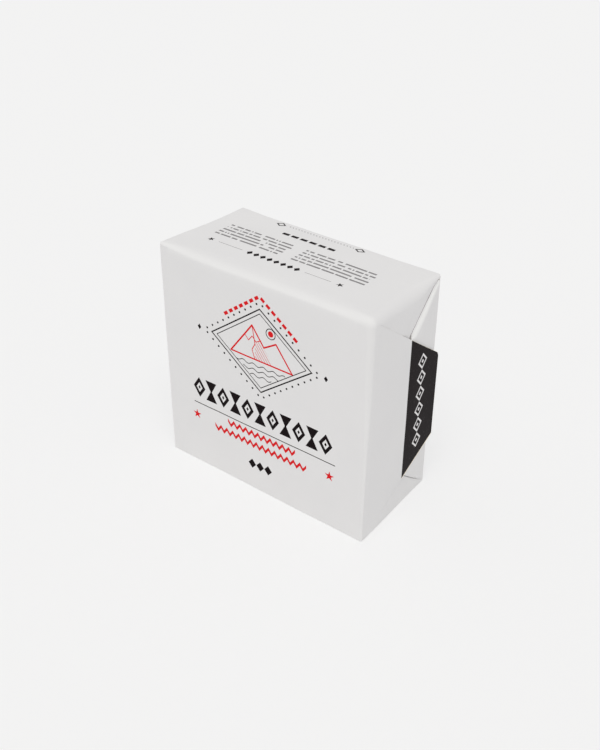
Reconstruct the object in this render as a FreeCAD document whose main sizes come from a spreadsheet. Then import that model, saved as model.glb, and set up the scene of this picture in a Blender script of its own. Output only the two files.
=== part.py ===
"""A block of pressed gymnastics chalk in its paper wrapper.

The block stands on its narrow long side. One sheet is rolled round it as a sleeve, closed by a glued
lap down the back, and each end is folded shut like an envelope: two tucks, the back flap, then the
closing flap, which turns on the upright crease at the front. +X runs across the printed front, whose
face looks along -Y, and +Z is up from the surface that the block stands on.
"""

import FreeCAD
import Part
import math
import os
import Sketcher

sizes = {
    "chalk_length": 58,
    "chalk_depth": 28,
    "chalk_height": 58,
    "chalk_side_radius": 2.3,
    "chalk_end_radius": 1,
    "fit_gap": 0.15,
    "paper": 0.12,
    "glue_film": 0.05,
    "fold_play": 0.05,
    "flap_margin": 1.04,
    "tuck_gap": 3.54,
    "closing_top_angle": 35.3,
    "closing_bottom_angle": 25.5,
    "back_top_angle": 45,
    "back_bottom_angle": 38,
    "flap_overhang": 1.1,
    "lap_edge_height": 18,
    "lap_width": 9,
    "lap_rise": 0.8,
    "dot_radius": 1.6,
    "dot_spacing": 4,
    "dot_depth": 14.9,
}

pitch = "(dims.paper + dims.glue_film)"
depth_half = "(dims.chalk_depth / 2 + dims.fit_gap + dims.paper)"
height = "(dims.chalk_height + 2 * dims.fit_gap + 2 * dims.paper)"
side_radius = "(dims.chalk_side_radius + dims.fit_gap + dims.paper)"
first_layer = "(dims.chalk_length / 2 + dims.fit_gap)"
inset = "(dims.paper + dims.fold_play)"
flap_reach = f"(2 * {depth_half} - dims.flap_margin)"
closing_reach = f"(2 * {depth_half} + dims.flap_overhang)"
tuck_reach = f"(({height} - dims.tuck_gap) / 2)"
flat_tolerance = 1e-6

doc = FreeCAD.newDocument("chalk_block")
sheet = doc.addObject("Spreadsheet::Sheet", "dims")
for row, (alias, size) in enumerate(sizes.items(), start=1):
    sheet.set(f"A{row}", alias)
    sheet.set(f"B{row}", str(size))
    sheet.setAlias(f"B{row}", alias)
doc.recompute()


def layer(count):
    """Distance from the middle to the inner face of an end layer, counted outward from the chalk."""
    return f"({first_layer} + {count} * {pitch})"


def new_body(name):
    return doc.addObject("PartDesign::Body", name)


def new_sketch(body, name, role, offset="0"):
    plane = next(f for f in body.Origin.OriginFeatures if f.Role == role)
    sketch = body.newObject("Sketcher::SketchObject", name)
    sketch.AttachmentSupport = [(plane, "")]
    sketch.MapMode = "FlatFace"
    sketch.setExpression("AttachmentOffset.Base.z", offset)
    return sketch


def bind(sketch, constraint, size):
    index = sketch.addConstraint(constraint)
    sketch.setExpression(f"Constraints[{index}]", size)


def bind_point(sketch, edge, end, x, y):
    drawn = sketch.getPoint(edge, end)
    bind(sketch, Sketcher.Constraint("DistanceX", -1, 1, edge, end, drawn.x), x)
    bind(sketch, Sketcher.Constraint("DistanceY", -1, 1, edge, end, drawn.y), y)


def add_outline(sketch, corners):
    """A closed run of straight lines through the corners, each placed from the origin."""
    first = sketch.GeometryCount
    count = len(corners)
    turns = [2 * math.pi * i / count for i in range(count)]
    starts = [FreeCAD.Vector(math.cos(a), math.sin(a), 0) for a in turns]
    for i in range(count):
        sketch.addGeometry(Part.LineSegment(starts[i], starts[(i + 1) % count]))
    for i in range(count):
        following = first + (i + 1) % count
        sketch.addConstraint(Sketcher.Constraint("Coincident", first + i, 2, following, 1))
    for i, (x, y) in enumerate(corners):
        bind_point(sketch, first + i, 1, x, y)


def add_circle(sketch, x, y, radius):
    circle = Part.Circle(FreeCAD.Vector(0, 0, 0), FreeCAD.Vector(0, 0, 1), 1)
    index = sketch.addGeometry(circle)
    bind_point(sketch, index, 3, x, y)
    bind(sketch, Sketcher.Constraint("Radius", index, 1), radius)


def new_pad(body, name, sketch, length, both_ways=False):
    pad = body.newObject("PartDesign::Pad", name)
    pad.Profile = sketch
    pad.SideType = "Symmetric" if both_ways else "One side"
    pad.setExpression("Length", length)
    doc.recompute()
    return pad


def new_cut(body, name, sketch):
    cut = body.newObject("PartDesign::Pocket", name)
    cut.Profile = sketch
    cut.Type = "ThroughAll"
    cut.SideType = "Symmetric"
    doc.recompute()
    return cut


def round_edges(body, name, base, radius, wanted):
    """A fillet on every edge of the base for which wanted(edge) holds."""
    edges = [f"Edge{i}" for i, edge in enumerate(base.Shape.Edges, start=1) if wanted(edge)]
    fillet = body.newObject("PartDesign::Fillet", name)
    fillet.Base = (base, edges)
    fillet.setExpression("Radius", radius)
    doc.recompute()
    return fillet


def runs_along_x(edge):
    box = edge.BoundBox
    return box.XLength > sizes["chalk_length"] / 2 and max(box.YLength, box.ZLength) < flat_tolerance


def lies_across_x(edge):
    return edge.BoundBox.XLength < flat_tolerance


def rectangle(left, right, low, high):
    return [(left, low), (right, low), (right, high), (left, high)]


def make_chalk_block():
    """The pressed cake, softly rounded along its sides and more tightly at its two ends."""
    body = new_body("chalk_block")
    sketch = new_sketch(body, "chalk_section", "YZ_Plane")
    low = "dims.fit_gap + dims.paper"
    side = "dims.chalk_depth / 2"
    add_outline(sketch, rectangle(f"-{side}", side, low, f"{low} + dims.chalk_height"))
    cake = new_pad(body, "chalk_cake", sketch, "dims.chalk_length", both_ways=True)
    sides = round_edges(body, "chalk_sides", cake, "dims.chalk_side_radius", runs_along_x)
    round_edges(body, "chalk_ends", sides, "dims.chalk_end_radius", lies_across_x)
    return body


def make_wrapper_sleeve():
    """The sheet round the block: a thin tube, slit down the back, with one edge lapped over the other."""
    body = new_body("wrapper_sleeve")
    section = new_sketch(body, "sleeve_section", "YZ_Plane")
    add_outline(section, rectangle(f"-{depth_half}", depth_half, "0", height))
    sleeve_length = f"2 * {layer(2)}"
    solid = new_pad(body, "sleeve_core", section, sleeve_length, both_ways=True)
    rounded = round_edges(body, "sleeve_rounding", solid, side_radius, runs_along_x)
    ends = [
        f"Face{i}"
        for i, face in enumerate(rounded.Shape.Faces, start=1)
        if face.BoundBox.XLength < flat_tolerance
    ]
    tube = body.newObject("PartDesign::Thickness", "sleeve_wall")
    tube.Base = (rounded, ends)
    tube.setExpression("Value", "dims.paper")
    tube.Reversed = True
    doc.recompute()

    inner_edge = "(dims.lap_edge_height + dims.lap_width)"
    step_low = f"({inner_edge} + dims.fold_play)"
    step_high = f"({step_low} + dims.lap_rise)"
    wall_in = f"({depth_half} - dims.paper)"
    lap_in = f"({depth_half} + dims.glue_film)"
    lap_out = f"({lap_in} + dims.paper)"
    slit = new_sketch(body, "lap_slit", "YZ_Plane")
    add_outline(slit, rectangle(f"{wall_in} - dims.paper", lap_out, inner_edge, step_high))
    new_cut(body, "slit", slit)
    lap = new_sketch(body, "lap_section", "YZ_Plane")
    lap_corners = [
        (wall_in, step_high),
        (depth_half, step_high),
        (lap_out, step_low),
        (lap_out, "dims.lap_edge_height"),
        (lap_in, "dims.lap_edge_height"),
        (lap_in, step_low),
    ]
    add_outline(lap, lap_corners)
    new_pad(body, "lap", lap, sleeve_length, both_ways=True)

    lip = new_sketch(body, "front_lip_section", "YZ_Plane")
    lip_corners = rectangle(f"-{depth_half}", f"-{wall_in}", side_radius, f"{height} - {side_radius}")
    add_outline(lip, lip_corners)
    new_pad(body, "front_lip", lip, f"2 * {layer(4)}", both_ways=True)
    return body


def make_seam_glue():
    """The film of paste between the two edges of the sheet."""
    body = new_body("seam_glue")
    sketch = new_sketch(body, "seam_glue_section", "YZ_Plane")
    high = "dims.lap_edge_height + dims.lap_width"
    outer = f"{depth_half} + dims.glue_film"
    add_outline(sketch, rectangle(depth_half, outer, "dims.lap_edge_height", high))
    new_pad(body, "seam_glue_film", sketch, f"2 * {layer(2)}", both_ways=True)
    return body


def inward(side, distance):
    """Depth coordinate at a distance inward from the front (-1) or the back (+1) face."""
    return f"{side} * ({depth_half} - ({distance}))"


def leave_rounding(angle):
    """Where a fold that falls at this angle from the sheet's corner leaves the rounded side."""
    reach = f"{side_radius} * (cos({angle}) + sin({angle}) - sqrt(sin(2 * {angle})))"
    return f"{reach} * cos({angle})", f"{reach} * sin({angle})"


def flap_corners(side, reach, top_angle, bottom_angle):
    """A flap seen from its end: an upright crease, two slanted folds and the sheet's cut edge."""
    top_u, top_v = leave_rounding(top_angle)
    bottom_u, bottom_v = leave_rounding(bottom_angle)
    tip = inward(side, reach)
    return [
        (inward(side, "0"), f"{height} - {side_radius}"),
        (inward(side, top_u), f"{height} - {top_v}"),
        (tip, f"{height} - {reach} * tan({top_angle})"),
        (tip, f"{reach} * tan({bottom_angle})"),
        (inward(side, bottom_u), bottom_v),
        (inward(side, "0"), side_radius),
    ]


def from_edge(top, distance):
    """Height at a distance in from the top or the bottom of the folded end."""
    return f"{height} - ({distance})" if top else distance


def gusset_corners(side, reach, top, angle):
    """The triangle of sheet between a flap's slanted fold and the tuck beneath it."""
    across = f"({reach} - {inset})"
    along = f"({tuck_reach} - {inset})"
    lean = f"tan(45 - {angle})"
    corners = [
        (side_radius, f"{side_radius} * tan({angle})"),
        (across, f"{across} * tan({angle})"),
        (f"{along} * {lean}", along),
        (f"{side_radius} * {lean}", side_radius),
    ]
    return [(inward(side, f"{inset} + {u}"), from_edge(top, f"{inset} + {v}")) for u, v in corners]


def tuck_corners(top, front_angle, back_angle):
    """A tuck seen from its end: it hangs from the top or stands from the bottom, sides leaning in."""
    reach = f"({tuck_reach} - {inset})"
    front_lean = f"tan(45 - {front_angle})"
    back_lean = f"tan(45 - {back_angle})"
    corners = [
        (-1, side_radius, "0"),
        (1, side_radius, "0"),
        (1, f"{side_radius} * {back_lean}", side_radius),
        (1, f"{reach} * {back_lean}", reach),
        (-1, f"{reach} * {front_lean}", reach),
        (-1, f"{side_radius} * {front_lean}", side_radius),
    ]
    return [
        (inward(side, f"{inset} + {u}"), from_edge(top, f"{inset} + {v}")) for side, u, v in corners
    ]


def make_sheet_layer(name, count, outlines):
    """A flat layer of the sheet on the right end, as one pad over one or more outlines."""
    body = new_body(name)
    sketch = new_sketch(body, f"{name}_outline", "YZ_Plane", layer(count))
    for corners in outlines:
        add_outline(sketch, corners)
    new_pad(body, f"{name}_sheet", sketch, "dims.paper")
    return body


def make_closing_glue():
    """Two dots of paste that hold the closing flap on the back flap, between the two gussets."""
    body = new_body("right_closing_glue")
    sketch = new_sketch(body, "dots", "YZ_Plane", f"{layer(2)} + dims.paper")
    depth = inward(-1, "dims.dot_depth")
    for side in (-1, 1):
        dot_height = f"{height} / 2 + {side} * dims.dot_spacing / 2"
        add_circle(sketch, depth, dot_height, "dims.dot_radius")
    new_pad(body, "glue_dots", sketch, f"2 * {pitch} - dims.paper")
    return body


def make_right_end():
    closing_angles = ("dims.closing_top_angle", "dims.closing_bottom_angle")
    back_angles = ("dims.back_top_angle", "dims.back_bottom_angle")
    tops = [tuck_corners(True, closing_angles[0], back_angles[0])]
    bottoms = [tuck_corners(False, closing_angles[1], back_angles[1])]
    places = (True, False)
    back_gussets = [gusset_corners(1, flap_reach, *place) for place in zip(places, back_angles)]
    closing_gussets = [
        gusset_corners(-1, closing_reach, *place) for place in zip(places, closing_angles)
    ]
    back_flaps = [flap_corners(1, flap_reach, *back_angles)]
    closing_flaps = [flap_corners(-1, closing_reach, *closing_angles)]
    return [
        make_sheet_layer("right_top_tuck", 0, tops),
        make_sheet_layer("right_bottom_tuck", 0, bottoms),
        make_sheet_layer("right_back_gussets", 1, back_gussets),
        make_sheet_layer("right_back_flap", 2, back_flaps),
        make_sheet_layer("right_closing_gussets", 3, closing_gussets),
        make_closing_glue(),
        make_sheet_layer("right_closing_flap", 4, closing_flaps),
    ]


def mirror_left(right):
    """The left end is folded as the mirror image of the right."""
    left = doc.addObject("Part::Mirroring", right.Label.replace("right_", "left_"))
    left.Source = right
    left.Normal = (1, 0, 0)
    return left


right_end = make_right_end()
pieces = [make_chalk_block(), make_wrapper_sleeve(), make_seam_glue(), *right_end]
pieces += [mirror_left(piece) for piece in right_end]
doc.recompute()

for item in doc.Objects:
    if "Invalid" in item.State or "Error" in item.State:
        raise RuntimeError(f"{item.Label} did not build: {item.State}")
for piece in pieces:
    if piece.Shape.isNull() or not piece.Shape.isValid() or not piece.Shape.Solids:
        raise RuntimeError(f"{piece.Label} has no sound solid")

os.makedirs("parts", exist_ok=True)
for piece in pieces:
    piece.Shape.exportStep(f"parts/{piece.Label}.step")
    box = piece.Shape.BoundBox
    print(
        f"{piece.Label}: {len(piece.Shape.Solids)} solid, {piece.Shape.Volume:.2f} mm3,"
        f" x {box.XMin:.2f}..{box.XMax:.2f}, y {box.YMin:.2f}..{box.YMax:.2f},"
        f" z {box.ZMin:.2f}..{box.ZMax:.2f}"
    )
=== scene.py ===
import bmesh
import bpy
import math
from mathutils import Matrix, Vector, noise


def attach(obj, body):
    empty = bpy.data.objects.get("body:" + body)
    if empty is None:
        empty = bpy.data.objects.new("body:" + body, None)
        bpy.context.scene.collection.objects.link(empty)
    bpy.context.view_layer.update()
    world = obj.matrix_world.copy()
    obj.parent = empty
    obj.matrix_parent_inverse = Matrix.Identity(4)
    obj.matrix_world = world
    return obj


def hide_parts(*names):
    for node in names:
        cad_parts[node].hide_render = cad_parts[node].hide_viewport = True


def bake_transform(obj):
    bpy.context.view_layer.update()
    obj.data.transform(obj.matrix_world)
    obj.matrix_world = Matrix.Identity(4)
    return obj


mm = 0.001
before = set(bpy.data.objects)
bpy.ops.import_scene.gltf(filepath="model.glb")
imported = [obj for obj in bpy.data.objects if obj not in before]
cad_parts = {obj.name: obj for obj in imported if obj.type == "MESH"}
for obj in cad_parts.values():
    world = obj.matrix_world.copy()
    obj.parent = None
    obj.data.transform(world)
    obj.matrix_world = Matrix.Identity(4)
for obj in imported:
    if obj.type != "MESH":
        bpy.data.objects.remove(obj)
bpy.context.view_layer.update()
print("frame loaded:", len(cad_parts), "nodes")

# All sizes below are in millimetres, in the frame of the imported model
block = {"halfWidth": 29.95, "halfDepth": 14.27, "height": 58.54}
sheet = {
    "thickness": 0.12,
    "drawnBend": 2.4,
    "bendSegments": 10,
    "cells": (28, 12, 27),
    "endDrop": 0.4,
    "swellSize": 24,
    "swell": (0.07, 0.13, 0.16),
    "rippleSize": 8,
    "ripple": (0.02, 0.05, 0.05),
    "flatBelow": 7,
    "smoothAngle": 38,
}
height = block["height"]
depth = 2 * block["halfDepth"]


def ease(low, high, value):
    t = min(1, max(0, (value - low) / (high - low)))
    return t * t * (3 - 2 * t)


def mixed(a, b, share):
    return a + (b - a) * share


def tangent(angle):
    return math.tan(math.radians(angle))


# working in edit mode
longEdge = 5


def selectNothing():
    if bpy.context.object and bpy.context.object.mode != "OBJECT":
        bpy.ops.object.mode_set(mode="OBJECT")
    bpy.ops.object.select_all(action="DESELECT")


def makeActive(piece):
    selectNothing()
    piece.select_set(True)
    bpy.context.view_layer.objects.active = piece


def openPiece(piece):
    makeActive(piece)
    bpy.ops.object.mode_set(mode="EDIT")


def flipFaces(piece):
    openPiece(piece)
    bpy.ops.mesh.select_all(action="SELECT")
    bpy.ops.mesh.flip_normals()
    selectNothing()


def addBox(name, size, middle):
    # left open in edit mode
    selectNothing()
    scale, place = ([c * mm for c in values] for values in (size, middle))
    bpy.ops.mesh.primitive_cube_add(size=1, location=place, scale=scale)
    box = bpy.context.object
    box.name = box.data.name = name
    bpy.ops.object.transform_apply(location=True, rotation=True, scale=True)
    openPiece(box)
    return box


def bevelAll(radius, segments):
    bpy.ops.mesh.select_all(action="SELECT")
    bpy.ops.mesh.bevel(offset=radius * mm, segments=segments, affect="EDGES")


def pick(piece, kind, wanted):
    bpy.ops.mesh.select_mode(type=kind)
    bpy.ops.mesh.select_all(action="DESELECT")
    work = bmesh.from_edit_mesh(piece.data)
    for item in {"VERT": work.verts, "EDGE": work.edges, "FACE": work.faces}[kind]:
        if wanted(item):
            item.select_set(True)
    work.select_flush_mode()
    bmesh.update_edit_mesh(piece.data)


def divideAlong(piece, axis, cuts):
    # divides the long edges that run along one axis
    pick(piece, "EDGE", lambda e: abs(e.verts[0].co[axis] - e.verts[1].co[axis]) > longEdge * mm)
    bpy.ops.mesh.subdivide(number_cuts=cuts)


def bisectAll(point, normal, clear=False):
    bpy.ops.mesh.select_all(action="SELECT")
    bpy.ops.mesh.bisect(plane_co=[c * mm for c in point], plane_no=normal, clear_outer=clear)


def moveEach(piece, place):
    # place takes and gives a point in millimetres
    for vertex in piece.data.vertices:
        vertex.co = place(vertex.co / mm) * mm


def copyPiece(piece, name):
    copy = piece.copy()
    copy.data = piece.data.copy()
    copy.name = copy.data.name = name
    bpy.context.collection.objects.link(copy)
    return copy


def applyModifier(piece, kind, settings):
    makeActive(piece)
    modifier = piece.modifiers.new(kind.title(), kind)
    for name, value in settings.items():
        setattr(modifier, name, value)
    bpy.ops.object.modifier_apply(modifier=modifier.name)


# the rounded form that every panel of the sheet is cut from
panelEnd, panelCrease = 1, 2
# radii of the sheet's bends; the end that the left pieces close is folded more sharply
bends = {
    "frontTop": 1.5,
    "frontTopDeep": 4.2,
    "frontBottom": 0.3,
    "backTop": 0.9,
    "backBottom": 0.8,
    "uprightHigh": 1.6,
    "uprightLow": 0.3,
    "uprightBack": 0.7,
    "endFront": 2.0,
    "endMiddle": 3.0,
    "endBack": 0.7,
    "endBottom": 0.35,
    "leftShare": 0.3,
}
# between which places the bends and the drop of the end change
spans = {
    "drop": (3, 24),
    "lowered": (26, 29.6),
    "frontToMiddle": (-12, 0),
    "middleToBack": (3, 13),
    "toTop": (-18, 20),
    "toBack": (-8, 13),
    "toEnd": (17, 28.5),
    "toLeft": (5, 25),
    "creaseToTop": (-4, 22),
    "nearCrease": (height / 2 - 7, height / 2 - 1),
}


def markRegion(face):
    centre = face.calc_center_median() / mm
    coreX = block["halfWidth"] - sheet["drawnBend"]
    coreZ = height / 2 - sheet["drawnBend"]
    column = 2 * coreX / sheet["cells"][0]
    if abs(centre.x) > block["halfWidth"] - 0.01:
        return panelEnd
    nearCrease = abs(centre.x) > coreX - column and abs(centre.z - height / 2) < coreZ
    return panelCrease if nearCrease and centre.y < sheet["drawnBend"] - block["halfDepth"] else 0


def endDrop(d):
    return sheet["endDrop"] * ease(*spans["drop"], d)


def endTopBend(y):
    toMiddle = mixed(bends["endFront"], bends["endMiddle"], ease(*spans["frontToMiddle"], y))
    return mixed(toMiddle, bends["endBack"], ease(*spans["middleToBack"], y))


def bendsAt(x, y, z):
    # radii across the width, the depth and the height, for a point given from the middle
    toTop, toBack = ease(*spans["toTop"], z), ease(*spans["toBack"], y)
    toEnd = ease(*spans["toEnd"], abs(x))
    sharp = mixed(1, bends["leftShare"], ease(*spans["toLeft"], -x))
    crease = mixed(bends["endBottom"], endTopBend(y), ease(*spans["creaseToTop"], z)) * sharp
    upright = mixed(bends["uprightLow"], bends["uprightHigh"], toTop)
    upright = mixed(upright, bends["uprightBack"], toBack) * sharp
    front = mixed(bends["frontBottom"], bends["frontTop"], toTop)
    deep = mixed(bends["frontBottom"], bends["frontTopDeep"], toTop)
    back = mixed(bends["backBottom"], bends["backTop"], toTop)
    long, longDeep = mixed(front, back, toBack), mixed(deep, back, toBack)
    across = mixed(upright, crease, ease(*spans["nearCrease"], abs(z)))
    return across, mixed(longDeep, upright, toEnd), mixed(long, crease, toEnd)


def shapeForm(p, side):
    # gives each edge its own rounding and lets the end's back half sit lower, as its layers do
    size = Vector((block["halfWidth"], block["halfDepth"], height / 2))
    q = Vector((p.x, p.y, p.z - height / 2))
    for axis, bend in enumerate(bendsAt(q.x * side, q.y, q.z)):
        core = size[axis] - sheet["drawnBend"]
        away = abs(q[axis])
        if away <= core:
            away *= (size[axis] - bend) / core
        else:
            away = size[axis] - bend + (away - core) * bend / sheet["drawnBend"]
        q[axis] = math.copysign(away, q[axis])
    lowered = endDrop(q.y + block["halfDepth"]) * ease(*spans["lowered"], abs(q.x))
    return Vector((q.x - math.copysign(lowered, q.x), q.y, q.z + height / 2))


def makeForm(side):
    # side -1 is the form seen in a mirror, so that the left end is cut as the right one is
    form = addBox("roundedForm", (2 * block["halfWidth"], depth, height), (0, 0, height / 2))
    bevelAll(sheet["drawnBend"], sheet["bendSegments"])
    for axis, cells in enumerate(sheet["cells"]):
        divideAlong(form, axis, cells - 1)
    work = bmesh.from_edit_mesh(form.data)
    region = work.faces.layers.int.new("region")
    for face in work.faces:
        face[region] = markRegion(face)
    bmesh.update_edit_mesh(form.data)
    selectNothing()
    moveEach(form, lambda p: shapeForm(p, side))
    return form


def keepRegions(piece, regions, side=0):
    # deletes every face outside these regions, and on the other end where a side is given
    openPiece(piece)
    layer = bmesh.from_edit_mesh(piece.data).faces.layers.int["region"]
    pick(piece, "FACE", lambda f: f[layer] not in regions or f.calc_center_median().x * side < 0)
    bpy.ops.mesh.delete(type="FACE")


# how far each corner of a packet folded by hand stands from a true block's: (right, back, top)
lean = {
    (0, 0, 0): (-0.02, -0.11, 0),
    (1, 0, 0): (0.85, -0.6, 0),
    (1, 1, 0): (-0.05, 0.5, 0),
    (0, 1, 0): (0, 0, 0),
    (0, 0, 1): (-0.62, -0.3, 1.25),
    (1, 0, 1): (0.35, 0.36, 0.5),
    (1, 1, 1): (0.05, 0.1, 0.3),
    (0, 1, 1): (0.1, 0.35, 0.75),
}


def leaned(p):
    shares = (
        (p.x + block["halfWidth"]) / (2 * block["halfWidth"]),
        (p.y + block["halfDepth"]) / depth,
        p.z / height,
    )
    shares = [min(1, max(0, share)) for share in shares]
    moved = Vector(p)
    for corner, offset in lean.items():
        weight = math.prod(share if high else 1 - share for share, high in zip(shares, corner))
        moved += weight * Vector(offset)
    return moved


def drift(p):
    # three noises that stay the same in every run, as noise_vector doesn't
    return [noise.noise(p + Vector((0, 19 * i, 37 * i))) for i in range(3)]


def settle(p):
    swell = drift(p / sheet["swellSize"])
    ripple = drift(p / sheet["rippleSize"] + Vector((7, 3, 11)))
    steady = Vector((1, 1, ease(0, sheet["flatBelow"], p.z)))
    waves = [sheet["swell"][i] * swell[i] + sheet["ripple"][i] * ripple[i] for i in range(3)]
    return leaned(p) + Vector(waves[i] * steady[i] for i in range(3))


def mirrorPiece(piece):
    piece.data.transform(Matrix.Diagonal((-1, 1, 1, 1)))
    flipFaces(piece)


def faceOutward(piece):
    middle = Vector((0, 0, height / 2 * mm))
    outward = sum(f.area * f.normal.dot(f.center - middle) for f in piece.data.polygons)
    if outward < 0:
        flipFaces(piece)


def finishSheet(piece, materials):
    # materials: outer face, inner face, cut edge
    selectNothing()
    # the print and the grain follow the sheet, so they read each point's place before it settles
    laid = piece.data.attributes.new("laid", "FLOAT_VECTOR", "POINT")
    for spot, vertex in zip(laid.data, piece.data.vertices):
        spot.vector = vertex.co
    moveEach(piece, settle)
    piece.data.update()
    faceOutward(piece)
    piece.data.attributes.remove(piece.data.attributes["region"])
    for material in materials:
        piece.data.materials.append(material)
    wall = {
        "thickness": sheet["thickness"] * mm,
        "offset": -1,
        "use_even_offset": True,
        "material_offset": 1,
        "material_offset_rim": 2,
    }
    applyModifier(piece, "SOLIDIFY", wall)
    makeActive(piece)
    bpy.ops.object.shade_smooth_by_angle(angle=math.radians(sheet["smoothAngle"]))


# shader sums
class Wire:
    # one output socket, which can stand in a sum
    def __init__(self, board, socket):
        self.board = board
        self.socket = socket

    def out(self, name):
        return Wire(self.board, self.socket.node.outputs[name])

    def maths(self, operation, *values):
        return self.board.add("ShaderNodeMath", {"operation": operation}, dict(enumerate(values)))

    def __add__(self, other):
        return self.maths("ADD", self, other)

    __radd__ = __add__

    def __sub__(self, other):
        return self.maths("SUBTRACT", self, other)

    def __rsub__(self, other):
        return self.maths("SUBTRACT", other, self)

    def __mul__(self, other):
        return self.maths("MULTIPLY", self, other)

    __rmul__ = __mul__

    def __truediv__(self, other):
        return self.maths("DIVIDE", self, other)

    def __mod__(self, other):
        return self.maths("FLOORED_MODULO", self, other)

    def __lt__(self, other):
        return self.maths("LESS_THAN", self, other)

    def __gt__(self, other):
        return self.maths("GREATER_THAN", self, other)

    def __abs__(self):
        return self.maths("ABSOLUTE", self)

    def __or__(self, other):
        return self.maths("MAXIMUM", self, other)

    def __and__(self, other):
        return self.maths("MULTIPLY", self, other)

    def least(self, other):
        return self.maths("MINIMUM", self, other)

    def whole(self):
        return self.maths("FLOOR", self)


# scale and detail of each noise, then height and strength of each bump
grain = {
    "clouds": (0.07, 3),
    "fibres": (2.6, 4),
    "broad": (0.45, 2),
    "dust": (1.7, 5),
    "innerTone": (1.1, 5),
    "innerFibres": (3.5, 4),
    "edgeTone": (4, 2),
    "edgeFibres": (9, 2),
    "powder": (5, 6),
    "pits": (0.9, 3),
    "pasteTone": (1.3, 4),
    "pasteRipple": (1.8, 3),
}
bumps = {
    "paper": (0.03, 0.5),
    "inner": (0.04, 0.7),
    "edge": (0.02, 0.5),
    "chalk": (0.12, 0.8),
    "paste": (0.05, 0.6),
}


class Board:
    # the node tree of a material or of the world
    def __init__(self, owner):
        owner.use_nodes = True
        self.owner = owner
        self.tree = owner.node_tree
        self.tree.nodes.clear()

    def add(self, kind, settings={}, inputs={}):
        made = self.tree.nodes.new(kind)
        for name, value in settings.items():
            setattr(made, name, value)
        for name, value in inputs.items():
            if isinstance(value, Wire):
                self.tree.links.new(value.socket, made.inputs[name])
            else:
                made.inputs[name].default_value = value
        shown = [socket for socket in made.outputs if socket.enabled]
        return Wire(self, shown[0]) if shown else made

    def point(self, u, v):
        return self.add("ShaderNodeCombineXYZ", {}, {0: u, 1: v})

    def vector(self, operation, *values):
        return self.add("ShaderNodeVectorMath", {"operation": operation}, dict(enumerate(values)))

    def noise(self, name):
        scale, detail = grain[name]
        inputs = {"Vector": self.spot, "Scale": scale, "Detail": detail}
        return self.add("ShaderNodeTexNoise", {}, inputs)

    def chance(self, spot):
        return self.add("ShaderNodeTexWhiteNoise", {"noise_dimensions": "2D"}, {"Vector": spot})

    def tint(self, share, a, b):
        # a where share is 0, b where it is 1
        return self.add("ShaderNodeMix", {"data_type": "RGBA"}, {0: share, 6: a, 7: b})

    def surface(self, colour, roughness, normal, gloss):
        inputs = {"Base Color": colour, "Roughness": roughness, "Normal": normal}
        inputs["Specular IOR Level"] = gloss
        shader = self.add("ShaderNodeBsdfPrincipled", {}, inputs)
        self.add("ShaderNodeOutputMaterial", {}, {"Surface": shader})
        return self.owner

    def bump(self, relief, name):
        distance, strength = bumps[name]
        inputs = {"Height": relief, "Distance": distance * mm, "Strength": strength}
        return self.add("ShaderNodeBump", {}, inputs)


def startMaterial(name, laid=False):
    # x, y and z are in millimetres; on a laid sheet they are from before it settled
    board = Board(bpy.data.materials.new(name))
    if laid:
        place = board.add("ShaderNodeAttribute", {"attribute_name": "laid"}).out("Vector")
    else:
        place = board.add("ShaderNodeTexCoord").out("Object")
    inputs = {0: place, "Scale": 1 / mm}
    board.spot = board.add("ShaderNodeVectorMath", {"operation": "SCALE"}, inputs)
    split = board.add("ShaderNodeSeparateXYZ", {}, {0: board.spot})
    board.x, board.y, board.z = (split.out(axis) for axis in "XYZ")
    return board


def rgb(red, green, blue):
    return (red, green, blue, 1)


inks = {
    "paper": rgb(0.79, 0.785, 0.785),
    "shadowed": rgb(0.765, 0.762, 0.765),
    "black": rgb(0.008, 0.0046, 0.0054),
    "red": rgb(0.70, 0.014, 0.018),
    "grey": rgb(0.06, 0.05, 0.055),
    # painted shade: the dark line in the crevice beside the back flap's fold
    "paintedShade": rgb(0.14, 0.08, 0.09),
    "inner": rgb(0.74, 0.725, 0.69),
    "edge": rgb(0.82, 0.78, 0.70),
    "white": rgb(0.78, 0.77, 0.77),
    # cream for the tip's unprinted margin, lighter than the paper as a painted highlight of the
    # folded edge
    "creamAndHighlight": rgb(0.93, 0.85, 0.72),
    # painted highlight, for the bends
    "paintedHighlight": rgb(0.9, 0.9, 0.89),
    "chalk": rgb(0.86, 0.86, 0.85),
    "paleChalk": rgb(0.92, 0.92, 0.915),
    "paste": rgb(0.76, 0.73, 0.62),
    "palePaste": rgb(0.80, 0.785, 0.72),
}
gloss = {"paper": 0.03, "inner": 0.3, "other": 0.5}
rough = {"paper": 0.5, "inner": 0.85, "edge": 0.8, "chalk": 0.95, "paste": 0.34}
inkSmooths = 0.12


# shapes of the print, as distances in millimetres
def segment(board, spot, start, end):
    run = (end[0] - start[0], end[1] - start[1])
    square = run[0] ** 2 + run[1] ** 2
    fromStart = board.vector("SUBTRACT", spot, (start[0], start[1], 0))
    along = board.vector("DOT_PRODUCT", fromStart, (run[0] / square, run[1] / square, 0))
    held = board.add("ShaderNodeClamp", {}, {0: along})
    inputs = {0: (run[0], run[1], 0), "Scale": held}
    nearest = board.add("ShaderNodeVectorMath", {"operation": "SCALE"}, inputs)
    return board.vector("DISTANCE", fromStart, nearest)


def polyline(board, spot, points):
    distance = segment(board, spot, points[0], points[1])
    for start, end in zip(points[1:], points[2:]):
        distance = distance.least(segment(board, spot, start, end))
    return distance


def within(value, low, high):
    return (value > low) & (value < high)


def lozenge(u, v, halfWidth, halfHeight):
    # below 1 inside
    return abs(u) / halfWidth + abs(v) / halfHeight


starSlope = 3.08


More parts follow.
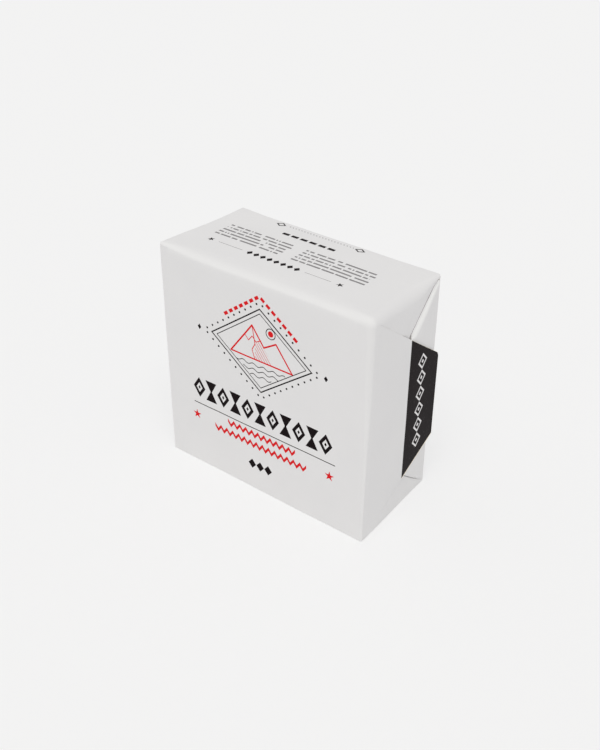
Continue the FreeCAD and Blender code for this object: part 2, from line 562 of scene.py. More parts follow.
def star(board, u, v):
    # a star of five points, one of them towards +v; below its radius inside
    fifth = 2 * math.pi / 5
    turn = u.maths("ARCTAN2", u, v)
    fromPoint = abs((turn + fifth / 2) % fifth - fifth / 2)
    reach = board.vector("LENGTH", board.point(u, v))
    return reach * u.maths("COSINE", fromPoint) + reach * u.maths("SINE", fromPoint) * starSlope


emblem = {
    "centre": (0, 40.1),
    "halfWidth": 14.6,
    "halfHeight": 10.9,
    "line": 0.16,
    "innerLine": 0.1,
    "innerGap": 0.95,
    "dotOffset": 1.35,
    "dots": 10,
    "dotRadius": 0.27,
    "bold": 0.2,
    "thin": 0.11,
    "peaks": [(-8.8, -2.6), (-2.3, 6.1), (1.1, 1.4), (4.6, 3.5), (9.2, -2.6), (-8.8, -2.6)],
    "snow": [(-4.5, 3.1), (-3.4, 1.9), (-2.3, 3.3), (-1.2, 2.1), (0.2, 2.9)],
    "ridge": [(-2.3, 6.1), (-1.5, 1.5), (-2.4, -0.2), (-1.6, -2.6)],
    "sun": (3.1, 5.6),
    "sunRing": 1.3,
    "sunDisc": 0.75,
    "waves": ((-4.1, 7.2), (-5.5, 5.2), (-6.9, 3.2)),
    "waveRate": 2.1,
    "waveSwing": 0.28,
}
# the dashes over the frame's upper sides, the marks at its sides and the peaks' shading
roof = {"offset": 2.55, "half": 0.42, "step": 1.9, "low": 0.45, "high": 1.7, "dashes": 7}
tips = {"apart": 18.5, "half": (0.55, 0.75)}
shading = {
    "slant": 0.75,
    "pitch": 0.8,
    "half": 0.08,
    "rise": (-2.5, 2.5),
    "left": -1.5,
    "slope": 1.382,
    "limit": 2.7,
}


def emblemPrint(board):
    u = board.x - emblem["centre"][0]
    v = board.z - emblem["centre"][1]
    a, b = emblem["halfWidth"], emblem["halfHeight"]
    long = math.hypot(a, b)
    side = (abs(u) * b + abs(v) * a - a * b) / long
    along = (abs(u) * a - abs(v) * b) / long
    outer = abs(side) < emblem["line"]
    black = outer | (abs(side + emblem["innerGap"]) < emblem["innerLine"])
    apex = lambda offset: -(b + offset * long / a) * b / long
    dotted = emblem["dotOffset"]
    pitch = (b + dotted * long / a) * long / b / emblem["dots"]
    dot = board.point(side - dotted, (along - apex(dotted)) % pitch - pitch / 2)
    black = black | (board.vector("LENGTH", dot) < emblem["dotRadius"])
    spot = board.point(u, v)
    fromSun = board.vector("DISTANCE", spot, (*emblem["sun"], 0))
    black = black | (abs(fromSun - emblem["sunRing"]) < emblem["thin"])
    ripple = u.maths("SINE", u * emblem["waveRate"]) * emblem["waveSwing"]
    for level, half in emblem["waves"]:
        black = black | ((abs(v - level - ripple) < emblem["thin"]) & (abs(u) < half))
    black = black | (lozenge(abs(u) - tips["apart"], v, *tips["half"]) < 1)

    red = polyline(board, spot, emblem["peaks"]) < emblem["bold"]
    thin = polyline(board, spot, emblem["snow"]).least(polyline(board, spot, emblem["ridge"]))
    pitch = shading["pitch"]
    hatch = abs((u + v * shading["slant"]) % pitch - pitch / 2) < shading["half"]
    hatch = hatch & within(v, *shading["rise"]) & (u > shading["left"])
    hatch = hatch & (v + u * shading["slope"] < shading["limit"])
    run = along - apex(roof["offset"])
    dashes = within(run % roof["step"], roof["low"], roof["high"])
    dashes = dashes & (abs(side - roof["offset"]) < roof["half"])
    dashes = dashes & (run < roof["step"] * roof["dashes"]) & (v > 0)
    red = red | (thin < emblem["thin"]) | hatch | (fromSun < emblem["sunDisc"]) | dashes
    return black, red


# lower down: a row of lozenges and hourglasses, a rule, zigzags, stars and beads
headline = {
    "left": -21.6,
    "right": 20.8,
    "middle": 22.85,
    "half": 2.85,
    "cells": 11,
    "stroke": 0.5,
    "heart": (0.36, 0.55),
    "glassWidth": 0.4,
    "glassWaist": 0.14,
}
captions = {
    "rule": 18.1,
    "ruleHalf": 21.7,
    "ruleLine": 0.12,
    "rows": ((16.3, -10.7, 11), (13.3, -15.0, 15)),
    "tooth": 1.9,
    "toothSlope": 1.35,
    "toothLevel": 0.64,
    "stroke": 0.5,
    "stars": {"middle": -0.4, "apart": 20.6, "level": 14.5, "radius": 1.4},
    "beads": {"middle": -0.6, "apart": 2.5, "level": 7.4, "half": (1.2, 1.4)},
    "inFrontOf": -12.9,
}


def frontPrint(board):
    black, red = emblemPrint(board)
    x, z = board.x, board.z
    cell = (headline["right"] - headline["left"]) / headline["cells"]
    half, stroke = headline["half"], headline["stroke"]
    fromLeft = x - headline["left"]
    t = fromLeft % cell - cell / 2
    w = z - headline["middle"]
    rim = lozenge(t, w, cell * 0.5, half)
    hollow = abs(rim - (1 - stroke / 2)) < stroke / 2
    hollow = hollow | (lozenge(t, w, *headline["heart"]) < 1)
    waist = abs(w) / half + headline["glassWaist"]
    glass = (abs(t) / (cell * headline["glassWidth"]) < waist) & (abs(w) < half)
    odd = (fromLeft % (2 * cell)) > cell
    figures = (hollow & (1 - odd)) | (glass & odd)
    black = black | (figures & within(x, headline["left"], headline["right"]))
    rule = (abs(z - captions["rule"]) < captions["ruleLine"]) & (abs(x) < captions["ruleHalf"])
    black = black | rule
    tooth = captions["tooth"]
    for middle, left, teeth in captions["rows"]:
        peak = abs((x - left) % tooth - tooth / 2) * captions["toothSlope"]
        zigzag = abs(peak - captions["toothLevel"] - (z - middle)) < captions["stroke"]
        red = red | (zigzag & within(x, left, left + teeth * tooth))
    stars, beads = captions["stars"], captions["beads"]
    starSpot = (abs(x - stars["middle"]) - stars["apart"], z - stars["level"])
    red = red | (star(board, *starSpot) < stars["radius"])
    fromMiddle, row = x - beads["middle"], z - beads["level"]
    outer = lozenge(abs(fromMiddle) - beads["apart"], row, *beads["half"])
    black = black | (outer.least(lozenge(fromMiddle, row, *beads["half"])) < 1)
    facing = board.y < captions["inFrontOf"]
    return black & facing, red & facing


columns = {
    "low": 11.9,
    "pitch": 1.45,
    "rows": 5,
    "line": 0.3,
    "left": (-24.1, -3.6),
    "right": (-1.1, 20.0),
    "ragged": 1.8,
    "letter": 0.42,
    "gap": 0.17,
}
# the top's small figures, row by row from the front
heading = {"level": 9.0, "from": -11.2, "to": 4.4, "pitch": 1.95, "half": (0.78, 0.95)}
hairs = {"half": 0.07, "runs": ((-19.6, -12.4), (5.6, 12.8))}
topStars = {"middle": -3.4, "apart": 18.6, "radius": 0.95}
bars = {"level": 22.6, "half": 0.5, "from": -11.5, "to": 4.7, "pitch": 2.7, "bar": 2.0}
dots = {"level": 26.6, "half": 0.16, "run": (-13.2, 6.6), "pitch": 0.9, "dot": 0.34}
rings = {"middle": -3.3, "apart": 11.8, "level": 26.4, "half": (1.5, 1.0), "rim": 0.8, "line": 0.2}
topFrom = 57.2


def topPrint(board):
    d = board.y + block["halfDepth"]
    x = board.x
    pitch = columns["pitch"]
    row = ((d - columns["low"]) / pitch).whole()
    inRow = abs((d - columns["low"]) % pitch - pitch / 2) < columns["line"]
    letter = board.chance(board.point((x / columns["letter"]).whole(), row * 7))
    ragged = board.chance(board.point(row, 3)) * columns["ragged"]
    column = lambda low, high: within(x, low, high - ragged)
    rows = within(d, columns["low"], columns["low"] + pitch * columns["rows"])
    texts = (column(*columns["left"]) | column(*columns["right"])) & inRow & rows
    texts = texts & (letter > columns["gap"])

    pitch = heading["pitch"]
    t = (x - heading["from"]) % pitch - pitch / 2
    title = lozenge(t, d - heading["level"], *heading["half"]) < 1
    title = title & within(x, heading["from"], heading["to"])
    left, right = (within(x, *run) for run in hairs["runs"])
    hair = (abs(d - heading["level"]) < hairs["half"]) & (left | right)
    stars = star(board, abs(x - topStars["middle"]) - topStars["apart"], heading["level"] - d)
    barred = (x - bars["from"]) % bars["pitch"] < bars["bar"]
    barred = barred & (abs(d - bars["level"]) < bars["half"]) & within(x, bars["from"], bars["to"])
    dotted = (abs(d - dots["level"]) < dots["half"]) & (x % dots["pitch"] < dots["dot"])
    dotted = dotted & within(x, *dots["run"])
    ring = lozenge(abs(x - rings["middle"]) - rings["apart"], d - rings["level"], *rings["half"])
    ring = abs(ring - rings["rim"]) < rings["line"]
    facing = board.z > topFrom
    strong = title | (stars < topStars["radius"]) | barred | ring
    return strong & facing, (texts | hair | dotted) & facing


band = {
    "start": 16.6,
    "spine": 22.3,
    "run": (14.2, 41.0),
    "pitch": 4.46,
    "swing": 2.0,
    "margin": 0.3,
    "topMargin": 0.05,
    "rim": 0.82,
    "line": 0.15,
    "heart": (0.5, 0.56),
    "beyond": 29.4,
}


def flapPrint(board):
    # the dark tip of a closing flap, with a pale chain of lozenges down it
    d = board.y + block["halfDepth"]
    fromTop = (height - board.z) - d * tangent(folds["closingTop"])
    fromLow = board.z - d * tangent(folds["closingBottom"])
    tipPart = (d > band["start"]) & (abs(board.x) > band["beyond"])
    dark = tipPart & (fromTop > band["topMargin"]) & (fromLow > band["margin"])
    t = (board.z - band["run"][0]) % band["pitch"] - band["pitch"] / 2
    across = d - band["spine"]
    link = lozenge(across, t, band["swing"], band["pitch"] / 2)
    chain = (abs(link - band["rim"]) < band["line"]) | (lozenge(across, t, *band["heart"]) < 1)
    return dark, chain & within(board.z, *band["run"]) & dark, tipPart & (1 - dark)


# paper
clouds = {"from": 0.35, "strength": 1.6}
# painted highlight along the edge between the front and the top
edgeHighlight = {"width": 2.2, "strength": 0.36}
# along the back flap's upper fold: a band of painted shade in the crevice beside it, and a painted
# highlight on its rim
foldLine = {
    "above": 38,
    "shadeBand": (-0.05, 0.36),
    "shadeShare": 0.9,
    "highlightAt": -0.55,
    "highlightWidth": 1.25,
}
fineInk = 0.72
dust = {"above": 0.64, "share": 0.03}


def paperTone(board):
    cloudy = (board.noise("clouds") - clouds["from"]) * clouds["strength"]
    return board.tint(cloudy, inks["paper"], inks["shadowed"])


def paintHighlightAlong(board, colour, distance, width, strength):
    # painted highlight: the paper is made lighter along a bend, as where it catches the light
    share = (1 - abs(distance) / width) | 0
    return board.tint(share * strength, colour, inks["paintedHighlight"])


def paperRelief(board):
    return board.bump(board.noise("fibres") * 0.5 + board.noise("broad"), "paper")


def printedPaper():
    board = startMaterial("printedPaper", laid=True)
    black, red = frontPrint(board)
    strong, fine = topPrint(board)
    # painted highlight: lighter paper within reach of the front's top edge
    fromEdge = board.point(board.y + block["halfDepth"], board.z - height)
    away = board.vector("LENGTH", fromEdge)
    paper = paintHighlightAlong(board, paperTone(board), away, edgeHighlight["width"], edgeHighlight["strength"])
    colour = board.tint(fine * fineInk, paper, inks["grey"])
    colour = board.tint(strong, colour, inks["black"])
    colour = board.tint(red, colour, inks["red"])
    colour = board.tint(black, colour, inks["black"])
    inked = black | red | strong
    roughness = rough["paper"] - inked * inkSmooths
    return board.surface(colour, roughness, paperRelief(board), gloss["paper"])


def plainPaper():
    board = startMaterial("plainPaper", laid=True)
    d = board.y + block["halfDepth"]
    turn = math.radians(folds["backTop"])
    besideFold = (depth - d) * math.sin(turn) - (height - board.z) * math.cos(turn)
    onTop = board.z > foldLine["above"]
    # painted shade: a dark line in the crevice beside the back flap's upper fold
    paintedShade = within(besideFold, *foldLine["shadeBand"]) & onTop
    # painted highlight on the rounded rim of the back flap's upper fold
    fromHighlight = besideFold - foldLine["highlightAt"]
    paper = paintHighlightAlong(board, paperTone(board), fromHighlight, foldLine["highlightWidth"], onTop)
    colour = board.tint(paintedShade * foldLine["shadeShare"], paper, inks["paintedShade"])
    return board.surface(colour, rough["paper"], paperRelief(board), gloss["paper"])


def darkTipPaper():
    board = startMaterial("darkTipPaper", laid=True)
    dark, chain, margin = flapPrint(board)
    dusty = board.noise("dust") > dust["above"]
    scuff = board.tint(dusty * dust["share"], inks["black"], inks["white"])
    # the margin is cream paper, painted lighter as a highlight where the folded edge catches the
    # light
    colour = board.tint(margin, paperTone(board), inks["creamAndHighlight"])
    colour = board.tint(dark, colour, scuff)
    colour = board.tint(chain, colour, inks["white"])
    roughness = rough["paper"] - dark * inkSmooths
    return board.surface(colour, roughness, paperRelief(board), gloss["paper"])


def innerPaper():
    board = startMaterial("innerPaper", laid=True)
    colour = board.tint(board.noise("innerTone"), inks["inner"], inks["paper"])
    relief = board.bump(board.noise("innerFibres"), "inner")
    return board.surface(colour, rough["inner"], relief, gloss["inner"])


def cutEdge():
    board = startMaterial("cutEdge", laid=True)
    colour = board.tint(board.noise("edgeTone"), inks["edge"], inks["paper"])
    relief = board.bump(board.noise("edgeFibres"), "edge")
    return board.surface(colour, rough["edge"], relief, gloss["inner"])


def pressedChalk():
    board = startMaterial("pressedChalk")
    powder, pits = board.noise("powder"), board.noise("pits")
    colour = board.tint(pits, inks["chalk"], inks["paleChalk"])
    relief = board.bump(powder + pits * 1.5, "chalk")
    return board.surface(colour, rough["chalk"], relief, gloss["other"])


def driedPaste():
    board = startMaterial("driedPaste")
    colour = board.tint(board.noise("pasteTone"), inks["paste"], inks["palePaste"])
    relief = board.bump(board.noise("pasteRipple"), "paste")
    return board.surface(colour, rough["paste"], relief, gloss["other"])


# the sheet, panel by panel; the four angles are those of the flaps' slanted folds
folds = {
    "closingTop": 35.3,
    "closingBottom": 25.5,
    "backTop": 45,
    "backBottom": 38,
    "closingReach": 29.64,
    "backReach": 27.5,
    "tuckReach": 27.5,
    "layer": 0.17,
    "gussetInset": 0.8,
    "tipCorner": 2.6,
    "lowerTipCorner": 0.7,
    "cornerSteps": 7,
    "pastBack": (1.2, 1.6),
    "pastCrease": 9,
}
printed, plain, tip = printedPaper(), plainPaper(), darkTipPaper()
inner, edge = innerPaper(), cutEdge()
print("papers and inks ready")
form, mirroredForm = makeForm(1), makeForm(-1)
print("rounded forms:", len(form.data.polygons), "faces each")


lap = {
    "low": 18,
    "step": 27.05,
    "high": 27.85,
    "rise": 0.24,
    "wall": 0.04,
    "pucker": 0.35,
    "puckerSize": (3.5, 6),
    "endsFrom": 27,
    "endsBy": 28.8,
}


def makeSleeve():
    sleeve = copyPiece(form, "wrapperSleeve")
    keepRegions(sleeve, (0,))
    for level in (lap["low"] - lap["wall"], lap["low"], lap["step"], lap["high"]):
        bisectAll((0, 0, level), (0, 0, 1))
    selectNothing()
    moveEach(sleeve, raiseLap)
    sleeve.data.update()
    for face in sleeve.data.polygons:
        # the cut edge that shows along the lap
        if face.normal.z < -0.7 and abs(face.center.z / mm - lap["low"]) < 0.1:
            face.material_index = 2
    finishSheet(sleeve, (printed, inner, edge))
    return sleeve


def raiseLap(p):
    onBack = p.y > block["halfDepth"] - 0.3 and lap["low"] - 0.01 < p.z < lap["step"] + 0.01
    across, along = lap["puckerSize"]
    pucker = 1 + lap["pucker"] * noise.noise(Vector((p.x / across, p.z / along, 2)))
    share = 1 - ease(lap["endsFrom"], lap["endsBy"], abs(p.x))
    lift = lap["rise"] * pucker * share if onBack else 0
    return p + Vector((0, lift, 0))


def aboveSlant(d, z, side, top, angle):
    # distance outside a flap's slanted fold, which starts at the front (-1) or back (+1) corner
    across = d if side < 0 else depth - d
    down = height - z if top else z
    return (across * tangent(angle) - down) * math.cos(math.radians(angle))


def flapSlants(side):
    names = ("closingTop", "closingBottom") if side < 0 else ("backTop", "backBottom")
    return [(side, top, folds[name]) for top, name in zip((True, False), names)]


def outside(d, z, side):
    # how far outside a flap a point lies; below 0 on the flap
    return max(aboveSlant(d, z, *slant) for slant in flapSlants(side))


# how far out each layer of an end lies, and how its rim sinks towards the slants
closingLayer = {"rim": 0.8, "drop": 0.07, "from": (3, 14), "until": (15, 18)}
backLayer = {
    "level": 29.61,
    "bareFrom": (0.1, 1.2),
    "bareRise": 0.22,
    "creaseFrom": 7,
    "creaseBy": 1.4,
    "creaseKeeps": 0.4,
    "topWidth": (1.5, 0.8),
    "topDrop": 0.82,
    "lowWidth": 0.8,
    "lowDrop": 0.22,
    "curl": 1.45,
}
# for the top and the low tuck: the levels beside the back flap, where they change, and its reach
tuckLayer = {
    "top": ((28.82, 29.38), (0.26, 0.34), 5),
    "low": ((29.1, 29.4), (0.02, 0.2), 3),
    "hidden": 29.56,
    "hiddenTo": -0.08,
    "shown": (-0.09, 0.02),
    "mostHidden": 29.8,
    "pastBend": (0.1, 1.6),
}


def closingLevel(d, z):
    rim = min(1, max(0, 1 + outside(d, z, -1) / closingLayer["rim"]))
    middle = ease(*closingLayer["from"], d) * (1 - ease(*closingLayer["until"], d))
    return block["halfWidth"] - closingLayer["drop"] * rim**2 * middle


def backLevel(d, z):
    bare = ease(*backLayer["bareFrom"], outside(d, z, -1))
    toCrease = ease(depth - backLayer["creaseFrom"], depth - backLayer["creaseBy"], d)
    top = z > height / 2
    edge = aboveSlant(d, z, 1, top, folds["backTop" if top else "backBottom"])
    width = mixed(*backLayer["topWidth"], toCrease) if top else backLayer["lowWidth"]
    rim = min(1, max(0, 1 + edge / width))
    level = backLayer["level"] + backLayer["bareRise"] * bare
    flat = mixed(level, block["halfWidth"] - endDrop(d), toCrease)
    drop = backLayer["topDrop" if top else "lowDrop"] * (1 - backLayer["creaseKeeps"] * toCrease)
    return flat - bare * drop * rim ** backLayer["curl"]


def tuckLevel(d, z):
    top = z > height / 2
    ring = block["halfWidth"] - endDrop(d)
    fromClosing, fromBack = outside(d, z, -1), outside(d, z, 1)
    levels, fold, reach = tuckLayer["top" if top else "low"]
    beside = mixed(*levels, ease(*fold, fromBack))
    bare = mixed(beside, ring, ease(fold[1], reach, fromBack))
    hidden = min(bare, tuckLayer["hidden"])
    if fromClosing <= tuckLayer["hiddenTo"]:
        return hidden
    level = mixed(hidden, bare, ease(*tuckLayer["shown"], fromClosing))
    if fromClosing <= 0:
        return min(level, tuckLayer["mostHidden"])
    down = height - z if top else z
    bend = endTopBend(d - block["halfDepth"]) if top else bends["endBottom"]
    low, high = tuckLayer["pastBend"]
    return mixed(ring, level, ease(bend + low, bend + high, down))


def cutTo(piece, corners):
    # keeps the part inside a convex outline of (depth, height) corners
    openPiece(piece)
    middle = Vector((sum(c[0] for c in corners), sum(c[1] for c in corners))) / len(corners)
    for (d1, z1), (d2, z2) in zip(corners, corners[1:] + corners[:1]):
        away = Vector((z2 - z1, d1 - d2)).normalized()
        if away.dot(Vector((d1, z1)) - middle) < 0:
            away = -away
        bisectAll((0, d1 - block["halfDepth"], z1), (0, away.x, away.y), clear=True)


# distances outside the slants, where each layer is cut so that it can bend
scores = {
    "tuckByClosing": (-0.09, -0.005, 0.02, 0.6),
    "tuckByBack": (0.02, 0.25, 0.35, 0.8, 1.5, 2.6, 4),
    "gusset": (-0.3, -0.6, -0.9, -1.3),
    "backRim": (-0.07, -0.2, -0.38, -0.6, -0.9, -1.2, -1.5),
    "backByClosing": (0.1, 0.6, 1.2),
    "closingRim": (-0.15, -0.35, -0.6, -0.9),
}


def scoreBeside(piece, side, distances):
    # cuts that run beside the flap's slants, so that the paper can bend there
    openPiece(piece)
    for _, top, angle in flapSlants(side):
        turn = math.radians(angle)
        normal = Vector((math.sin(turn) * -side, math.cos(turn) * (1 if top else -1)))
        corner = Vector((0 if side < 0 else depth, height if top else 0))
        for distance in distances:
            at = corner + normal * distance
            bisectAll((0, at.x - block["halfDepth"], at.y), (0, normal.x, normal.y))


def layPiece(piece, level, drop=0):
    selectNothing()
    onEnd = lambda p: Vector((level(p.y + block["halfDepth"], p.z) - drop, p.y, p.z))
    moveEach(piece, onEnd)


def flapOutline(side, reach):
    top, low = (tangent(slant[2]) for slant in flapSlants(side))
    corners = [(0, height), (reach, height - reach * top), (reach, reach * low), (0, 0)]
    return corners if side < 0 else [(depth - d, z) for d, z in corners]


def gussetOutline(side, top, reach):
    angle = flapSlants(side)[0 if top else 1][2]
    inset = folds["gussetInset"]
    across, along = reach - inset, folds["tuckReach"] - inset
    corners = [(0, 0), (across, across * tangent(angle)), (along * tangent(45 - angle), along)]
    corners = [(u + inset, v + inset) for u, v in corners]
    corners = [(u if side < 0 else depth - u, height - v if top else v) for u, v in corners]
    return corners


def tuckOutline(top):
    inset, reach = folds["layer"], folds["tuckReach"]
    index = 0 if top else 1
    frontLean, backLean = (tangent(45 - flapSlants(side)[index][2]) for side in (-1, 1))
    corners = [(inset, 0), (depth - inset, 0), (depth - inset - reach * backLean, reach)]
    corners.append((inset + reach * frontLean, reach))
    return [(d, height - v if top else v) for d, v in corners]


def makeTuck(source, top):
    tuck = copyPiece(source, "topTuck" if top else "bottomTuck")
    keepRegions(tuck, (panelEnd,), side=1)
    cutTo(tuck, tuckOutline(top))
    scoreBeside(tuck, -1, scores["tuckByClosing"])
    scoreBeside(tuck, 1, scores["tuckByBack"])
    layPiece(tuck, tuckLevel)
    return tuck


def makeGussets(source, side, reach, level):
    halves = []
    for top in (True, False):
        half = copyPiece(source, "gusset")
        keepRegions(half, (panelEnd,), side=1)
        cutTo(half, gussetOutline(side, top, reach))
        scoreBeside(half, side, scores["gusset"])
        layPiece(half, level, drop=folds["layer"])
        halves.append(half)
    selectNothing()
    for half in halves:
        half.select_set(True)
    bpy.context.view_layer.objects.active = halves[0]
    bpy.ops.object.join()
    return halves[0]


def makeBackFlap(source):
    flap = copyPiece(source, "backFlap")
    keepRegions(flap, (panelEnd,), side=1)
    cutTo(flap, flapOutline(1, folds["backReach"]))
    scoreBeside(flap, 1, scores["backRim"])
    scoreBeside(flap, -1, scores["backByClosing"])
    layPiece(flap, backLevel)
    return flap


def roundCorner(top, radius):
    # cuts that round the closing flap's tip where a slant meets the cut edge
    reach = folds["closingReach"]
    angle = folds["closingTop" if top else "closingBottom"]
    turn = math.radians(angle)
    slant = Vector((math.sin(turn), math.cos(turn)))
    start = Vector((0, height)) if top else Vector((0, 0))
    if not top:
        slant.y = -slant.y
    centreD = reach - radius
    down = centreD * tangent(angle) + radius / math.cos(turn)
    centreZ = start.y - slant.y / abs(slant.y) * down
    steps = folds["cornerSteps"]
    for step in range(1, steps):
        normal = (slant * (1 - step / steps) + Vector((1, 0)) * step / steps).normalized()
        at = Vector((centreD, centreZ)) + normal * radius
        bisectAll((0, at.x - block["halfDepth"], at.y), (0, normal.x, normal.y), clear=True)


def makeClosingFlap(source):
    flap = copyPiece(source, "closingFlap")
    keepRegions(flap, (panelEnd, panelCrease), side=1)
    nearBack = (block["halfDepth"] - 2) * mm
    pick(flap, "EDGE", lambda e: e.is_boundary and min(v.co.y for v in e.verts) > nearBack)
    for step in folds["pastBack"]:
        move = {"value": (0, step * mm, 0)}
        bpy.ops.mesh.extrude_region_move(TRANSFORM_OT_translate=move)
    past = folds["pastCrease"]
    top, low = (tangent(folds[name]) for name in ("closingTop", "closingBottom"))
    outline = flapOutline(-1, folds["closingReach"])
    outline[0], outline[3] = (-past, height + past * top), (-past, -past * low)
    cutTo(flap, outline)
    roundCorner(True, folds["tipCorner"])
    roundCorner(False, folds["lowerTipCorner"])
    scoreBeside(flap, -1, scores["closingRim"])
    selectNothing()
    moveEach(flap, layClosing)
    return flap


def layClosing(p):
    d = p.y + block["halfDepth"]
    if p.x < block["halfWidth"] - sheet["endDrop"] - 0.05 or d < bends["uprightHigh"] + 0.05:
        return p
    return Vector((closingLevel(d, p.z), p.y, p.z))


sleeve = makeSleeve()
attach(sleeve, "wrapper")
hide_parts("wrapper_sleeve")
print("sleeve folded:", len(sleeve.data.polygons), "faces")

nodeNames = {
    "TopTuck": "top_tuck",
    "BottomTuck": "bottom_tuck",
    "BackGussets": "back_gussets",
    "BackFlap": "back_flap",
    "ClosingGussets": "closing_gussets",
    "ClosingFlap": "closing_flap",
}


def makeEnd(source, end, sign):
    closing, back = folds["closingReach"], folds["backReach"]
    pieces = {
        "TopTuck": makeTuck(source, True),
        "BottomTuck": makeTuck(source, False),
        "BackGussets": makeGussets(source, 1, back, backLevel),
        "BackFlap": makeBackFlap(source),
        "ClosingGussets": makeGussets(source, -1, closing, closingLevel),
        "ClosingFlap": makeClosingFlap(source),
    }
    for part, piece in pieces.items():
        piece.name = piece.data.name = end + part
        if sign < 0:
            mirrorPiece(piece)
        finishSheet(piece, (tip if part == "ClosingFlap" else plain, inner, edge))
        if part == "ClosingFlap":
            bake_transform(piece)
        else:
            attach(piece, f"{end}_flap" if part == "ClosingGussets" else "wrapper")
        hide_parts(f"{end}_{nodeNames[part]}")


makeEnd(form, "right", 1)
makeEnd(mirroredForm, "left", -1)
for source in (form, mirroredForm):
    bpy.data.objects.remove(source)
print("both ends folded")

# the cake, the paste in the lap and the dots under the flaps
cake = {
    "half": (28.7, 13.7, 28.75),
    "middle": 29.2,
    "bevel": 3.2,
    "segments": 5,
    "cuts": 14,
    "rough": 0.05,
    "roughSize": 1.7,
}


def makeCake():
    piece = addBox("chalkCake", [2 * c for c in cake["half"]], (0, 0, cake["middle"]))
    bevelAll(cake["bevel"], cake["segments"])
    for axis in range(3):
        divideAlong(piece, axis, cake["cuts"])
    selectNothing()
    moveEach(piece, crumble)
    makeActive(piece)
    bpy.ops.object.shade_smooth()
    piece.data.materials.append(pressedChalk())
    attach(piece, "wrapper")
    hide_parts("chalk_block")


def crumble(p):
    toMiddle = (Vector((0, 0, cake["middle"])) - p).normalized()
    return leaned(p) + toMiddle * cake["rough"] * (1 + noise.noise(p / cake["roughSize"]))


seamPaste = {
    "halfLength": 27.3,
    "low": 18.7,
    "high": 26.4,
    "thickness": 0.03,
    "outward": 0.017,
    "cuts": 60,
    "ragged": 0.5,
    "raggedSize": 3,
}


def makeSeamPaste():
    # a thin film that ends short of the lap's edge, more in some places than in others
    low, high = seamPaste["low"], seamPaste["high"]
    size = (2 * seamPaste["halfLength"], seamPaste["thickness"], high - low)
    middle = (0, block["halfDepth"] + seamPaste["outward"], (low + high) / 2)
    piece = addBox("seamPaste", size, middle)
    divideAlong(piece, 0, seamPaste["cuts"])
    selectNothing()

    def fray(p):
        spot = Vector((p.x / seamPaste["raggedSize"], p.z, 5))
        pull = seamPaste["ragged"] * noise.noise(spot)
        settled = settle(Vector((p.x, block["halfDepth"], p.z + pull)))
        return settled + Vector((0, p.y - block["halfDepth"], 0))

    moveEach(piece, fray)
    piece.data.materials.append(driedPaste())
    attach(piece, "wrapper")
    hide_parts("seam_glue")


makeCake()
makeSeamPaste()
dotPaste = driedPaste()
for name in ("right_closing_glue", "left_closing_glue"):
    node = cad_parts[name]
    node.data.materials.clear()
    node.data.materials.append(dotPaste)
print("cake and paste finished")

# floor, light and camera
studio = {
    "floorRadius": 3,
    "floorSides": 96,
    "floorColour": 0.98,
    "shownFloor": 0.35,
    "shownGlow": 0.563,
    "skyShown": 0.896,
    "skyLight": 0.6,
    "skyTint": (0.996, 0.99, 1.01),
    "key": 1.22,
    "keyTint": (1, 0.992, 0.94),
    "keyAngle": 40,
    "keyFrom": (0.19, -0.38, 0.905),
}


def seenDirectly(board):
    path = board.add("ShaderNodeLightPath")
    return path.out("Is Camera Ray") | path.out("Is Glossy Ray") | path.out("Is Transmission Ray")


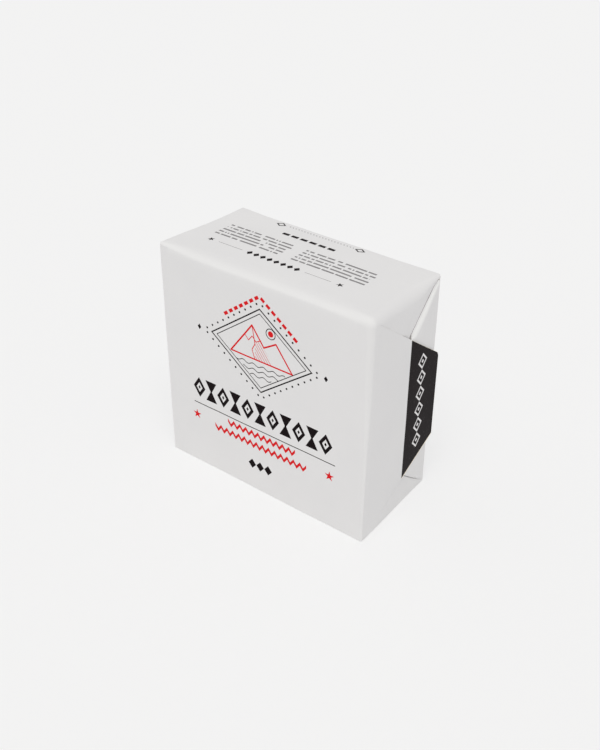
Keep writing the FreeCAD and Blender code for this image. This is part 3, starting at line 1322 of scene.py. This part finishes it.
def makeFloor():
    selectNothing()
    outline = {"vertices": studio["floorSides"], "radius": studio["floorRadius"]}
    bpy.ops.mesh.primitive_circle_add(fill_type="NGON", location=(0, 0, 0), **outline)
    floor = bpy.context.object
    floor.name = "studioFloor"
    board = Board(bpy.data.materials.new("paleFloor"))
    grey = lambda level: rgb(level, level, level)
    lit = board.add("ShaderNodeBsdfDiffuse", {}, {"Color": grey(studio["floorColour"])})
    shown = board.add("ShaderNodeBsdfDiffuse", {}, {"Color": grey(studio["shownFloor"])})
    glow = {"Color": grey(1), "Strength": studio["shownGlow"]}
    glow = board.add("ShaderNodeEmission", {}, glow)
    seen = board.add("ShaderNodeAddShader", {}, {0: shown, 1: glow})
    both = board.add("ShaderNodeMixShader", {}, {0: seenDirectly(board), 1: lit, 2: seen})
    board.add("ShaderNodeOutputMaterial", {}, {"Surface": both})
    floor.data.materials.append(board.owner)


def makeLight():
    world = bpy.data.worlds.new("paleStudio")
    bpy.context.scene.world = world
    board = Board(world)
    sky = {"Color": rgb(*studio["skyTint"]), "Strength": studio["skyLight"]}
    sky = board.add("ShaderNodeBackground", {}, sky)
    shown = {"Color": rgb(1, 1, 1), "Strength": studio["skyShown"]}
    shown = board.add("ShaderNodeBackground", {}, shown)
    both = board.add("ShaderNodeMixShader", {}, {0: seenDirectly(board), 1: sky, 2: shown})
    board.add("ShaderNodeOutputWorld", {}, {"Surface": both})

    sun = bpy.data.lights.new("softKey", "SUN")
    sun.energy = studio["key"]
    sun.color = studio["keyTint"]
    sun.angle = math.radians(studio["keyAngle"])
    lamp = bpy.data.objects.new("softKey", sun)
    lamp.rotation_euler = Vector(studio["keyFrom"]).to_track_quat("Z", "Y").to_euler()
    bpy.context.collection.objects.link(lamp)


camera = {
    "place": (0.130953, -0.170235, 0.161728),
    "right": (0.79062906, 0.61222893, 0.00902316),
    "up": (-0.33071272, 0.41458566, 0.84778997),
    "forward": (-0.51530067, 0.67327146, -0.53025537),
    "lens": 49.19,
    "sensor": 36,
    "nearest": 0.01,
}


def makeCamera():
    data = bpy.data.cameras.new("photographer")
    data.lens = camera["lens"]
    data.sensor_width = camera["sensor"]
    data.clip_start = camera["nearest"]
    eye = bpy.data.objects.new("photographer", data)
    axes = [Vector(camera[name]) for name in ("right", "up")] + [-Vector(camera["forward"])]
    turn = Matrix(axes).transposed().to_4x4()
    eye.matrix_world = Matrix.Translation(camera["place"]) @ turn
    bpy.context.collection.objects.link(eye)
    bpy.context.scene.camera = eye


makeFloor()
makeLight()
makeCamera()
bpy.context.scene.view_settings.view_transform = "Standard"
print("studio ready")
